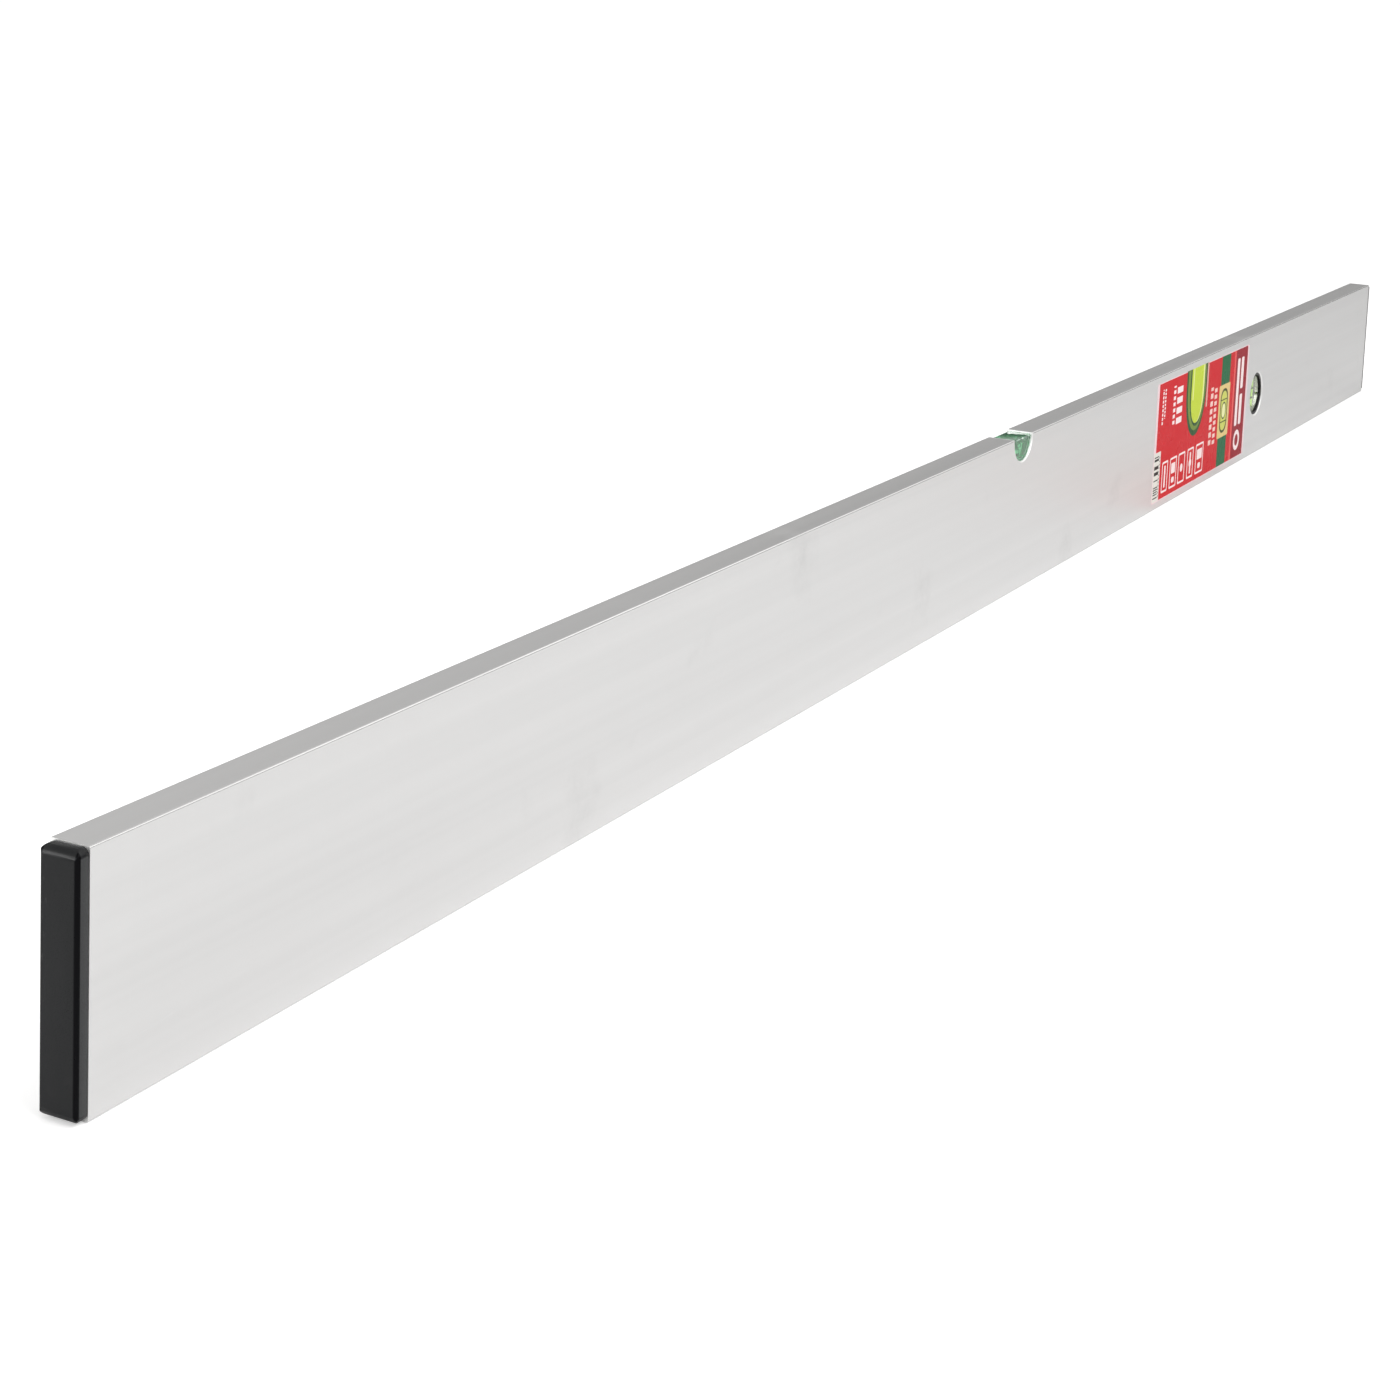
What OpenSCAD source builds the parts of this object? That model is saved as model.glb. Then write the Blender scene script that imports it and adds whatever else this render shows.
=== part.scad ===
// Spirit level with a box-section aluminium body
// X runs along the level, Y through its thickness, Z up. The front face looks toward -Y.
// The origin is the middle of the lower measuring edge.

/* [Body] */
// Overall length over both end caps
overall_length = 1800; // [400:10:2500]
// Thickness of the box section, front to back
section_width = 18; // [14:0.5:30]
// Height of the box section
section_height = 100; // [50:1:120]
// Thickness of the front and back walls
side_wall = 1.6; // [1:0.1:4]
// Thickness of the two measuring edges
edge_wall = 2.6; // [1.5:0.1:6]
// Thickness of the two cross ribs inside
rib_thickness = 1.4; // [0.8:0.1:3]
// Height of each cross rib from its nearer measuring edge
rib_inset = 24; // [18:1:30]
// Radius on the four long outer corners
corner_radius = 0.8; // [0.2:0.1:2]

/* [Openings] */
// Radius of the half-round notch in the upper edge
notch_radius = 15.8; // [10:0.1:20]
// Distance of the plumb window from the middle of the level
window_offset = 535; // [100:5:1100]
// Diameter of the plumb window
window_diameter = 34.4; // [20:0.1:44]
// Width of the bright chamfer round the notch and the window
opening_chamfer = 0.8; // [0.2:0.1:1.5]

/* [End caps] */
// Thickness of the cap that stands out past the body
cap_thickness = 6; // [2:0.5:12]
// How far the cap's outline stays inside the body's outline
cap_inset = 0.3; // [0:0.1:1]
// Radius on the upper and lower outer edges of the cap
cap_corner_radius = 4.4; // [1:0.1:6]
// Radius on the upright outer edges of the cap
cap_side_radius = 2; // [0.5:0.1:4]
// Radius on the four corners of the cap, seen from the end
cap_end_radius = 3.6; // [0.5:0.1:6]
// Length of the tongues pushed into the body
tongue_length = 22; // [10:1:60]
// Gap between a tongue and the wall beside it
tongue_gap = 0.4; // [0.1:0.1:1]
// Wall thickness of the hollow tongues
tongue_wall = 1.6; // [0.8:0.1:3]

/* [Level vial] */
// Length of the clear block in the upper edge
level_block_length = 46; // [36:1:80]
// Thickness of the clear block, front to back
level_block_width = 14.4; // [12:0.1:14.6]
// Height of the underside of the clear block
level_block_base = 79; // [78:0.1:82]
// How far the block's window stays below the upper edge
level_block_recess = 0.8; // [0:0.1:3]
// Height of the barrel's axis above the lower edge
level_axis_height = 90.8; // [86:0.1:93]
// Radius of the barrel at its middle
level_barrel_radius = 5.6; // [3:0.1:6]
// Radius of the barrel at its two ends
level_barrel_end_radius = 5.1; // [2.5:0.1:5.8]
// Length of the liquid-filled barrel
level_barrel_length = 34; // [24:1:60]
// Length of the air bubble
level_bubble_length = 10; // [6:0.5:16]
// Radius of the air bubble
level_bubble_radius = 2.6; // [1:0.1:3]
// Height of the bubble above the barrel's axis
level_bubble_lift = 2.4; // [1:0.1:3]
// How far the bubble moves to each side of the middle
level_bubble_travel = 6.5; // [2:0.5:10]

/* [Plumb vial] */
// Thickness of the clear disc
plumb_disc_thickness = 11.6; // [10:0.1:14]
// Radius of the clear disc
plumb_disc_radius = 15.8; // [10:0.1:16.4]
// How far the housing ring stays below the body's faces
ring_recess = 1; // [0:0.1:3]
// Inner radius of the ring's lip
ring_lip_radius = 15.2; // [10:0.1:15.6]
// Radius of the barrel at its middle
plumb_barrel_radius = 4.3; // [2:0.1:5]
// Radius of the barrel at its two ends
plumb_barrel_end_radius = 4.05; // [2:0.05:5]
// Length of the liquid-filled barrel
plumb_barrel_length = 23; // [16:0.5:26]
// Length of the air bubble
plumb_bubble_length = 6.8; // [4:0.1:9]
// Radius of the air bubble
plumb_bubble_radius = 2.4; // [1:0.1:3]
// How far the bubble sinks from the upper to the lower end
plumb_bubble_travel = 14.4; // [4:0.1:16]

/* [Label] */
// Distance of the label's near edge from the middle of the level
label_start = 273; // [50:1:900]
// Length of the label
label_length = 233; // [50:1:400]
// Height of the label
label_height = 89; // [20:1:96]
// Height of the label's lower edge
label_base = 5.5; // [2:0.5:20]
// Thickness of the label film
label_thickness = 0.15; // [0.05:0.01:0.5]

/* [Hidden] */
$fn = 64;
eps = 0.01;
fit_gap = 0.05;
body_length = overall_length - 2 * cap_thickness;
half_body = body_length / 2;
half_width = section_width / 2;
inner_half_width = half_width - side_wall;
rib_low = rib_inset - rib_thickness / 2;
rib_high = section_height - rib_inset + rib_thickness / 2;
// lower and upper limit of each of the three chambers inside the body
CHAMBERS = [
  [edge_wall, rib_low],
  [rib_low + rib_thickness, rib_high - rib_thickness],
  [rib_high, section_height - edge_wall]
];
chamber_radius = 0.6;
window_radius = window_diameter / 2;
window_height = section_height / 2;
// marking rings
line_depth = 0.35;
line_width = 0.8;
line_gap = 0.5;
// crush ribs on the tongues
crush_width = 1.2;
crush_count = 2;
// sealing plugs
plug_step = 0.3;
plug_length = 5;
// adhesive pads under the level vial
pad_length = 13;
pad_inset = 1;
// plumb vial housing
ring_radius = window_radius - 0.1;
pocket_radius = plumb_disc_radius + 0.1;
ring_face = half_width - ring_recess;
disc_half = plumb_disc_thickness / 2;
lug_count = 3;
lug_width = 6;
lug_height = 0.7;
lug_depth = 1.4;
key_width = 3;
key_depth = 1;
plumb_plug_radius = plumb_barrel_radius + plug_step;
plumb_bubble_rest = plumb_bubble_travel / 2;
// room left round a bubble in its liquid
bubble_gap = 0.25;
barrel_steps = 10;
cap_steps = 10;

// turns a flat shape in Y and Z into a bar along X
module along_x(length) {
  rotate([90, 0, 90])
    linear_extrude(height = length, center = true)
      children();
}

// turns a flat shape in X and Z into a slab through the level's thickness
module through_y(depth) {
  rotate([90, 0, 0])
    linear_extrude(height = depth, center = true)
      children();
}

module rounded_rectangle(low, high, radius) {
  translate([low[0] + radius, low[1]])
    square([high[0] - low[0] - 2 * radius, high[1] - low[1]]);
  translate([low[0], low[1] + radius])
    square([high[0] - low[0], high[1] - low[1] - 2 * radius]);
  for (x = [low[0] + radius, high[0] - radius])
    for (y = [low[1] + radius, high[1] - radius])
      translate([x, y])
        circle(r = radius);
}

// one side of a barrel's outline: radius against position along the axis
function barrel_points(length, middle, end) = [
  for (i = [0 : barrel_steps])
    let (t = 2 * i / barrel_steps - 1)
      [middle - (middle - end) * t * t, t * length / 2]
];

module barrel(length, middle, end) {
  rotate_extrude()
    polygon(concat([[0, -length / 2]], barrel_points(length, middle, end), [[0, length / 2]]));
}

// half outline of a round-ended bubble
function capsule_points(length, radius) = concat(
  [for (i = [0 : cap_steps])
    let (a = -90 + 90 * i / cap_steps)
      [radius * cos(a), radius * sin(a) - length / 2 + radius]],
  [for (i = [0 : cap_steps])
    let (a = 90 * i / cap_steps)
      [radius * cos(a), radius * sin(a) + length / 2 - radius]]
);

module capsule(length, radius) {
  rotate_extrude()
    polygon(capsule_points(length, radius));
}

module ring(outer, inner, width) {
  difference() {
    cylinder(r = outer, h = width, center = true);
    cylinder(r = inner, h = width + 1, center = true);
  }
}

// a round hole through the thickness, chamfered on both faces
module chamfered_hole(radius) {
  rotate([90, 0, 0])
    cylinder(r = radius, h = section_width + 2, center = true);
  for (side = [-1, 1])
    translate([0, side * (half_width - opening_chamfer), 0])
      rotate([-90 * side, 0, 0])
        cylinder(r1 = radius, r2 = radius + opening_chamfer + eps, h = opening_chamfer + eps);
}

module profile() {
  color("silver")
    difference() {
      along_x(body_length)
        difference() {
          rounded_rectangle([-half_width, 0], [half_width, section_height], corner_radius);
          for (chamber = CHAMBERS)
            rounded_rectangle([-inner_half_width, chamber[0]], [inner_half_width, chamber[1]], chamber_radius);
        }
      translate([0, 0, section_height])
        chamfered_hole(notch_radius);
      translate([window_offset, 0, window_height])
        chamfered_hole(window_radius);
    }
}

// hollow tongue for one chamber, open toward the middle of the body
module tongue(low, high) {
  half = inner_half_width - tongue_gap;
  translate([0, -half, low + tongue_gap])
    difference() {
      cube([tongue_length, 2 * half, high - low - 2 * tongue_gap]);
      translate([tongue_wall, tongue_wall, tongue_wall])
        cube([tongue_length, 2 * (half - tongue_wall), high - low - 2 * (tongue_gap + tongue_wall)]);
    }
  for (side = [-1, 1])
    for (i = [1 : crush_count])
      translate([
        tongue_wall,
        side > 0 ? half - eps : -half - tongue_gap + fit_gap,
        low + (high - low) * i / (crush_count + 1) - crush_width / 2
      ])
        cube([tongue_length - 2 * tongue_wall, tongue_gap - fit_gap + eps, crush_width]);
}

// outline of the cap seen from the front, rounded on the outer side only
module cap_side_outline() {
  low = cap_inset;
  high = section_height - cap_inset;
  translate([-cap_thickness + cap_corner_radius, low])
    square([cap_thickness - cap_corner_radius, high - low]);
  translate([-cap_thickness, low + cap_corner_radius])
    square([cap_thickness, high - low - 2 * cap_corner_radius]);
  for (z = [low + cap_corner_radius, high - cap_corner_radius])
    translate([-cap_thickness + cap_corner_radius, z])
      circle(r = cap_corner_radius);
}

// outline of the cap seen from above, rounded on the outer side only
module cap_top_outline() {
  half = half_width - cap_inset;
  translate([-cap_thickness + cap_side_radius, -half])
    square([cap_thickness - cap_side_radius, 2 * half]);
  translate([-cap_thickness, -half + cap_side_radius])
    square([cap_thickness, 2 * (half - cap_side_radius)]);
  for (y = [-half + cap_side_radius, half - cap_side_radius])
    translate([-cap_thickness + cap_side_radius, y])
      circle(r = cap_side_radius);
}

// outline of the cap seen from the end
module cap_end_outline() {
  half = half_width - cap_inset;
  rounded_rectangle([-half, cap_inset], [half, section_height - cap_inset], cap_end_radius);
}

module end_cap() {
  intersection() {
    through_y(section_width)
      cap_side_outline();
    linear_extrude(height = section_height)
      cap_top_outline();
    along_x(2 * cap_thickness)
      cap_end_outline();
  }
  for (chamber = CHAMBERS)
    tongue(chamber[0], chamber[1]);
}

module end_cap_left() {
  color("#202224")
    translate([-half_body, 0, 0])
      end_cap();
}

module end_cap_right() {
  color("#202224")
    translate([half_body, 0, 0])
      mirror([1, 0, 0])
        end_cap();
}

module at_level_axis() {
  translate([0, 0, level_axis_height])
    rotate([0, 90, 0])
      children();
}

module level_line(position) {
  at_level_axis()
    translate([0, 0, position])
      ring(level_barrel_radius + line_depth, level_barrel_radius, line_width);
}

level_line_position = level_bubble_length / 2 + line_gap;
level_plug_radius = level_barrel_end_radius + plug_step;

module level_vial_block() {
  window = 2 * (notch_radius - 1);
  top = section_height - edge_wall - 0.2;
  color("#cfe9d8", 0.5)
    difference() {
      union() {
        translate([-level_block_length / 2, -level_block_width / 2, level_block_base])
          cube([level_block_length, level_block_width, top - level_block_base]);
        translate([-window / 2, -level_block_width / 2, level_block_base])
          cube([window, level_block_width, section_height - level_block_recess - level_block_base]);
      }
      at_level_axis()
        barrel(level_barrel_length + 2 * eps, level_barrel_radius, level_barrel_end_radius);
      at_level_axis()
        translate([0, 0, level_barrel_length / 2])
          cylinder(r = level_plug_radius, h = level_block_length);
      for (side = [-1, 1])
        at_level_axis()
          translate([0, 0, side * level_line_position])
            cylinder(r = level_barrel_radius + line_depth + fit_gap, h = line_width + 2 * fit_gap, center = true);
    }
}

module level_vial_liquid() {
  slot_length = level_bubble_length + 2 * (level_bubble_travel + bubble_gap);
  slot_width = 2 * (level_bubble_radius + bubble_gap);
  color("#3fae5a", 0.6)
    difference() {
      at_level_axis()
        barrel(level_barrel_length, level_barrel_radius - fit_gap, level_barrel_end_radius - fit_gap);
      translate([0, 0, level_axis_height + level_bubble_lift - level_bubble_radius - bubble_gap])
        linear_extrude(height = section_height)
          rounded_rectangle(
            [-slot_length / 2, -slot_width / 2], [slot_length / 2, slot_width / 2], slot_width / 2 - eps
          );
    }
}

module level_vial_bubble() {
  color("#e8fbe8", 0.6)
    translate([0, 0, level_bubble_lift])
      at_level_axis()
        capsule(level_bubble_length, level_bubble_radius);
}

module level_vial_line_left() {
  color("black")
    level_line(-level_line_position);
}

module level_vial_line_right() {
  color("black")
    level_line(level_line_position);
}

module level_vial_plug() {
  color("#d8eadd")
    at_level_axis()
      translate([0, 0, level_barrel_length / 2])
        cylinder(r = level_plug_radius - fit_gap, h = plug_length);
}

// adhesive pad under one end of the clear block
module level_pad() {
  half = inner_half_width - chamber_radius - 0.1;
  color("#e6e2d6")
    translate([level_block_length / 2 - pad_length - pad_inset, -half, rib_high])
      cube([pad_length, 2 * half, level_block_base - rib_high]);
}

module level_vial_pad_left() {
  mirror([1, 0, 0])
    level_pad();
}

module level_vial_pad_right() {
  level_pad();
}

// one half of the housing, from the mid plane to the front face
module plumb_ring_half() {
  difference() {
    union() {
      rotate([90, 0, 0])
        cylinder(r = ring_radius, h = ring_face);
      intersection() {
        translate([0, -inner_half_width + 0.1, 0])
          rotate([-90, 0, 0])
            cylinder(r = ring_radius + lug_height, h = lug_depth);
        for (i = [0 : lug_count - 1])
          rotate([0, i * 360 / lug_count + 60, 0])
            translate([0, -section_width, -lug_width / 2])
              cube([section_width * 2, section_width * 2, lug_width]);
      }
    }
    rotate([90, 0, 0])
      cylinder(r = ring_lip_radius, h = section_width, center = true);
    translate([0, -disc_half, 0])
      rotate([-90, 0, 0])
        cylinder(r = pocket_radius, h = section_width);
  }
  translate([-key_width / 2, -disc_half, pocket_radius - key_depth])
    cube([key_width, disc_half, key_depth + fit_gap]);
}

module at_window() {
  translate([window_offset, 0, window_height])
    children();
}

module plumb_ring_front() {
  color("#1b1c1e")
    at_window()
      plumb_ring_half();
}

module plumb_ring_back() {
  color("#1b1c1e")
    at_window()
      mirror([0, 1, 0])
        plumb_ring_half();
}

plumb_line_position = plumb_bubble_length / 2 + line_gap;

module plumb_vial_disc() {
  color("#dfeee0", 0.5)
    at_window()
      difference() {
        rotate([90, 0, 0])
          cylinder(r = plumb_disc_radius, h = plumb_disc_thickness - 2 * fit_gap, center = true);
        barrel(plumb_barrel_length + 2 * eps, plumb_barrel_radius, plumb_barrel_end_radius);
        translate([0, 0, -plumb_disc_radius - 1])
          cylinder(r = plumb_plug_radius, h = plumb_disc_radius + 1 - plumb_barrel_length / 2);
        for (side = [-1, 1])
          translate([0, 0, side * plumb_line_position])
            cylinder(r = plumb_barrel_radius + line_depth + fit_gap, h = line_width + 2 * fit_gap, center = true);
        translate([-key_width / 2 - 0.1, -section_width / 2, plumb_disc_radius - key_depth - 0.1])
          cube([key_width + 0.2, section_width, key_depth + 1]);
      }
}

module plumb_vial_liquid() {
  base = plumb_bubble_rest + plumb_bubble_length / 2 + bubble_gap;
  color("#8fca63", 0.6)
    at_window()
      difference() {
        barrel(plumb_barrel_length, plumb_barrel_radius - fit_gap, plumb_barrel_end_radius - fit_gap);
        translate([0, 0, -base])
          cylinder(r = plumb_bubble_radius + bubble_gap, h = section_height);
      }
}

module plumb_vial_bubble() {
  color("#eefbe0", 0.6)
    at_window()
      translate([0, 0, plumb_bubble_rest])
        capsule(plumb_bubble_length, plumb_bubble_radius);
}

module plumb_line(position) {
  at_window()
    translate([0, 0, position])
      ring(plumb_barrel_radius + line_depth, plumb_barrel_radius, line_width);
}

module plumb_vial_line_upper() {
  color("black")
    plumb_line(plumb_line_position);
}

module plumb_vial_line_lower() {
  color("black")
    plumb_line(-plumb_line_position);
}

module plumb_vial_plug() {
  length = 3.5;
  color("#d8eadd")
    at_window()
      translate([0, 0, -plumb_barrel_length / 2 - length])
        cylinder(r = plumb_plug_radius - fit_gap, h = length);
}

module face_label() {
  color("#b81f2d")
    translate([0, -half_width - label_thickness / 2, 0])
      through_y(label_thickness)
        rounded_rectangle(
          [label_start, label_base], [label_start + label_length, label_base + label_height], 1.5
        );
}

profile();
end_cap_left();
end_cap_right();
level_vial_block();
level_vial_liquid();
level_vial_bubble();
level_vial_line_left();
level_vial_line_right();
level_vial_plug();
level_vial_pad_left();
level_vial_pad_right();
plumb_ring_front();
plumb_ring_back();
plumb_vial_disc();
plumb_vial_liquid();
plumb_vial_bubble();
plumb_vial_line_upper();
plumb_vial_line_lower();
plumb_vial_plug();
face_label();
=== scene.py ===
import math
import bpy
import bmesh
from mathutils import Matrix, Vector


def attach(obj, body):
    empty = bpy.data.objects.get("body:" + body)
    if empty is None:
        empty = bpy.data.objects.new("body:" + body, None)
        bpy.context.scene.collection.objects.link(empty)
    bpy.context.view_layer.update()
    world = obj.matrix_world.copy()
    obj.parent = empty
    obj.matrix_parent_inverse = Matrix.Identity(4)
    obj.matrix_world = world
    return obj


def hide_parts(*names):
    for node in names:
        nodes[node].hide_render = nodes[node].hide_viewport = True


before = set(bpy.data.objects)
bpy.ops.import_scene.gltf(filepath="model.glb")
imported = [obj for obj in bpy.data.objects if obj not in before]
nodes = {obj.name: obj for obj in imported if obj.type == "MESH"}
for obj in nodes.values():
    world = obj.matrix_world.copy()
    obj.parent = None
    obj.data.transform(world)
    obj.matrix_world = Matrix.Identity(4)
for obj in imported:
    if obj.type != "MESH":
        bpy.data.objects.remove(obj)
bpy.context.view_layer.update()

# ---------------------------------------------------------------- the room
# A plain pale studio floor the level stands on, a soft bright sky that is
# darker toward the horizon, two large soft lamps and the camera.


def new_material(name):
    """A node material with its Principled shader and output ready."""
    material = bpy.data.materials.new(name)
    material.use_nodes = True
    tree = material.node_tree
    return material, tree, tree.nodes["Principled BSDF"]


def place_node(tree, kind, **settings):
    """Adds one node; settings that name an input set it or link into it."""
    node = tree.nodes.new(kind)
    for key, value in settings.items():
        if hasattr(node, key) and key not in node.inputs:
            setattr(node, key, value)
        elif isinstance(value, bpy.types.NodeSocket):
            tree.links.new(value, node.inputs[key])
        else:
            node.inputs[key].default_value = value
    return node


def maths(tree, operation, first, second=0.0, clamp=False):
    """One Math node; either value may be a number or a socket."""
    node = tree.nodes.new("ShaderNodeMath")
    node.operation = operation
    node.use_clamp = clamp
    for slot, value in enumerate((first, second)):
        if isinstance(value, bpy.types.NodeSocket):
            tree.links.new(value, node.inputs[slot])
        else:
            node.inputs[slot].default_value = value
    return node.outputs[0]


def times(tree, first, second, clamp=False):
    """Multiplies two values."""
    return maths(tree, "MULTIPLY", first, second, clamp)


def spread(tree, value, low, high, new_low, new_high):
    """Maps a value from one range to another, held at the ends."""
    node = place_node(tree, "ShaderNodeMapRange", Value=value)
    limits = (("From Min", low), ("From Max", high), ("To Min", new_low), ("To Max", new_high))
    for key, number in limits:
        if isinstance(number, bpy.types.NodeSocket):
            tree.links.new(number, node.inputs[key])
        else:
            node.inputs[key].default_value = number
    return node.outputs[0]


def blend_colour(tree, factor, first, second):
    """Mixes two colours by a socket."""
    node = tree.nodes.new("ShaderNodeMix")
    node.data_type = "RGBA"
    for key, value in (("Factor_Float", factor), ("A_Color", first), ("B_Color", second)):
        socket = next(s for s in node.inputs if s.identifier == key)
        if isinstance(value, bpy.types.NodeSocket):
            tree.links.new(value, socket)
        else:
            socket.default_value = (*value, 1.0)
    return next(s for s in node.outputs if s.identifier == "Result_Color")


def stretched(tree, scale, offset=(0.0, 0.0, 0.0), turn=(0.0, 0.0, 0.0)):
    """Object coordinates through a Mapping node."""
    place = tree.nodes.new("ShaderNodeTexCoord")
    mapping = place_node(tree, "ShaderNodeMapping", Vector=place.outputs["Object"])
    mapping.inputs["Scale"].default_value = scale
    mapping.inputs["Location"].default_value = offset
    mapping.inputs["Rotation"].default_value = turn
    return mapping.outputs[0]


WHOLE = (1.0, 1.0, 1.0)
FLOOR_SIDE, FLOOR_DROP = 80.0, 0.0002
FLOOR_GLOW = (0.38, 0.38, 0.38)
NO_LIGHT = (0.0, 0.0, 0.0)
bpy.ops.object.select_all(action="DESELECT")
bpy.ops.mesh.primitive_plane_add(size=FLOOR_SIDE, location=(0.0, 0.0, -FLOOR_DROP))
floor = bpy.context.object
floor.name = "studio_floor"
floor_paint, tree, shader = new_material("studio_floor_paint")
mottle = place_node(
    tree, "ShaderNodeTexNoise", Vector=stretched(tree, WHOLE), Scale=2.5, Detail=3.0
)
pale = blend_colour(tree, mottle.outputs[0], (0.86, 0.86, 0.86), (0.90, 0.90, 0.90))
tree.links.new(pale, shader.inputs["Base Color"])
shader.inputs["Roughness"].default_value = 0.85
shader.inputs["Specular IOR Level"].default_value = 0.2
shader.inputs["Emission Strength"].default_value = 1.0
seen = tree.nodes.new("ShaderNodeLightPath").outputs["Is Camera Ray"]
tree.links.new(blend_colour(tree, seen, NO_LIGHT, FLOOR_GLOW), shader.inputs["Emission Color"])
floor.data.materials.append(floor_paint)

sky = bpy.data.worlds.new("studio_sky")
bpy.context.scene.world = sky
sky.use_nodes = True
tree = sky.node_tree
background = tree.nodes["Background"]
direction = tree.nodes.new("ShaderNodeTexCoord")
height = place_node(tree, "ShaderNodeSeparateXYZ", Vector=direction.outputs["Generated"]).outputs["Z"]
gradient = place_node(tree, "ShaderNodeValToRGB", Fac=height)
SKY_STOPS = (
    (0.0, 0.01), (0.10, 0.04), (0.22, 0.28), (0.36, 1.40), (0.50, 1.42), (0.70, 0.78), (1.0, 0.50)
)
SKY_TO_CAMERA = (1.2, 1.2, 1.2)
SKY_DIM_SIDE = (0.5, 0.86, 0.0)
while len(gradient.color_ramp.elements) < len(SKY_STOPS):
    gradient.color_ramp.elements.new(0.5)
for element, (place, level) in zip(gradient.color_ramp.elements, SKY_STOPS):
    element.position = place
    element.color = (level, level * 0.997, level * 0.99, 1.0)
across = tree.nodes.new("ShaderNodeVectorMath")
across.operation = "DOT_PRODUCT"
tree.links.new(direction.outputs["Generated"], across.inputs[0])
across.inputs[1].default_value = SKY_DIM_SIDE
shade = spread(tree, across.outputs["Value"], 0.10, 0.90, 1.0, 0.60)
dimmed = blend_colour(tree, shade, NO_LIGHT, gradient.outputs[0])
ray = tree.nodes.new("ShaderNodeLightPath")
lit = blend_colour(tree, ray.outputs["Is Camera Ray"], dimmed, SKY_TO_CAMERA)
tree.links.new(lit, background.inputs["Color"])
background.inputs["Strength"].default_value = 1.0

for name, place, aim, side, power in (
    ("soft_overhead", (-0.5, -0.9, 1.5), (-0.2, 0.0, 0.0), 1.6, 17.5),
    ("soft_low_back", (-2.79, 1.64, 0.54), (-0.9, 0.0, 0.09), 0.9, 20.0),
):
    bpy.ops.object.light_add(type="AREA", location=place)
    lamp = bpy.context.object
    lamp.name = name
    lamp.visible_camera = False
    lamp.data.size = side
    lamp.data.energy = power
    reach = [a - p for a, p in zip(aim, place)]
    flat = math.hypot(reach[0], reach[1])
    lamp.rotation_euler = (math.atan2(flat, -reach[2]), 0.0, math.atan2(-reach[0], reach[1]))

CAMERA_PLACE, CAMERA_TURN = (-1.5869, -0.5925, 0.4284), (81.9719, -2.2473, -62.3817)
LENS, LENS_DROP = 69.214, -0.30
bpy.ops.object.camera_add(location=CAMERA_PLACE, rotation=[math.radians(a) for a in CAMERA_TURN])
camera = bpy.context.object
camera.name = "studio_camera"
camera.data.lens = LENS
camera.data.sensor_width = 36.0
camera.data.shift_y = LENS_DROP
camera.data.clip_start = 0.05
camera.data.clip_end = 200.0
bpy.context.scene.camera = camera
bpy.context.scene.view_settings.view_transform = "Standard"
bpy.context.scene.cycles.transparent_max_bounces = 16

# ---------------------------------------------------------- aluminium body
# A drawn box section of aluminium, anodised a matt silver. The notch and the
# window are milled after anodising, so their cut edges are bare and bright.


def mask_group(name, **inputs):
    """An empty node group with the named inputs and one mask as its output."""
    group = bpy.data.node_groups.new(name, "ShaderNodeTree")
    for key, kind in inputs.items():
        group.interface.new_socket(key, in_out="INPUT", socket_type="NodeSocket" + kind)
    group.interface.new_socket("Mask", in_out="OUTPUT", socket_type="NodeSocketFloat")
    return group, group.nodes.new("NodeGroupInput"), group.nodes.new("NodeGroupOutput")


def smudge_group():
    """Handling marks: soft patches and finer blotches, as one mask."""
    group, entry, leave = mask_group("handling_marks", Vector="Vector", Size="Float", Cover="Float")
    broad = place_node(
        group, "ShaderNodeTexNoise", Vector=entry.outputs["Vector"],
        Scale=entry.outputs["Size"], Detail=4.0, Roughness=0.55,
    )
    fine = place_node(
        group, "ShaderNodeTexNoise", Vector=entry.outputs["Vector"],
        Scale=times(group, entry.outputs["Size"], 7.0), Detail=5.0, Roughness=0.7,
    )
    threshold = maths(group, "SUBTRACT", 0.72, entry.outputs["Cover"])
    patch = spread(group, broad.outputs[0], threshold, 0.78, 0.0, 1.0)
    broken = spread(group, fine.outputs[0], 0.35, 0.65, 0.25, 1.0)
    group.links.new(times(group, patch, broken, True), leave.inputs["Mask"])
    return group


def scratch_group():
    """Thin straight scratches in one direction, as a mask."""
    group, entry, leave = mask_group("fine_scratches", Vector="Vector", Amount="Float")
    vector = entry.outputs["Vector"]
    line = place_node(group, "ShaderNodeTexNoise", Vector=vector, Scale=1.0, Detail=1.0)
    from_line = maths(group, "ABSOLUTE", maths(group, "SUBTRACT", line.outputs[0], 0.5))
    thin = spread(group, from_line, 0.0, 0.006, 1.0, 0.0)
    where = place_node(group, "ShaderNodeTexNoise", Vector=vector, Scale=0.13, Detail=2.0)
    kept = spread(group, where.outputs[0], 0.58, 0.66, 0.0, 1.0)
    marked = times(group, thin, kept)
    group.links.new(times(group, marked, entry.outputs["Amount"], True), leave.inputs["Mask"])
    return group


HANDLING_MARKS = smudge_group()
FINE_SCRATCHES = scratch_group()


def marks(tree, vector, size, cover):
    """The handling marks with this finish's own size and cover."""
    node = place_node(
        tree, "ShaderNodeGroup", node_tree=HANDLING_MARKS, Vector=vector, Size=size, Cover=cover
    )
    return node.outputs["Mask"]


def scratches(tree, vector, amount):
    """Fine scratches with this finish's own strength."""
    node = place_node(
        tree, "ShaderNodeGroup", node_tree=FINE_SCRATCHES, Vector=vector, Amount=amount
    )
    return node.outputs["Mask"]


MM = 0.001
SECTION_TOP, SECTION_MIDDLE = 100.0, 50.0
WINDOW_X, WINDOW_Z = 535.0, 50.0
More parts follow.
